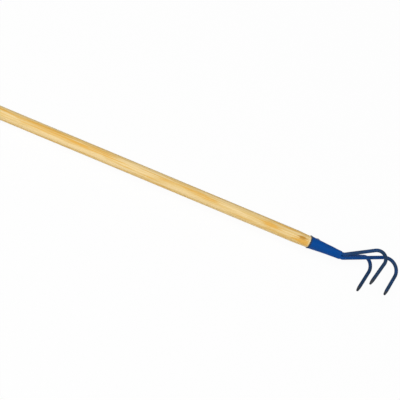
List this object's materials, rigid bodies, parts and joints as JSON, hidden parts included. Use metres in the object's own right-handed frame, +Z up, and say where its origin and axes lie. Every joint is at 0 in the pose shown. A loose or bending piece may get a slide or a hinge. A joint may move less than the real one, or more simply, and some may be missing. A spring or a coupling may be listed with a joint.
{
  "type": "hand cultivator",
  "caption": "Long handled cultivator claw: a turned wooden handle in a blue painted steel socket that grips hooked, splayed rod tines with drawn points, for breaking up soil.",
  "frame": {"origin": "bottom centre of the tool's box, on the floor that it lies on", "axes": "+X along the tool towards the claw, +Y towards the side away from the points, +Z up, with the tool lying on its left tine and the rim of its butt"},
  "size_m": [1.5382, 0.0922, 0.0973],
  "materials": {
    "lacquered_wood": "clear lacquer",
    "blue_enamel": "gloss enamel",
    "zinc_steel": "zinc plated"
  },
  "bodies": {
    "root": {"handle": "lacquered_wood", "socket": "blue_enamel", "centre_tine": "blue_enamel", "left_tine": "blue_enamel", "right_tine": "blue_enamel", "root_weld": "blue_enamel", "socket_nail": "zinc_steel"}
  },
  "joints": []
}
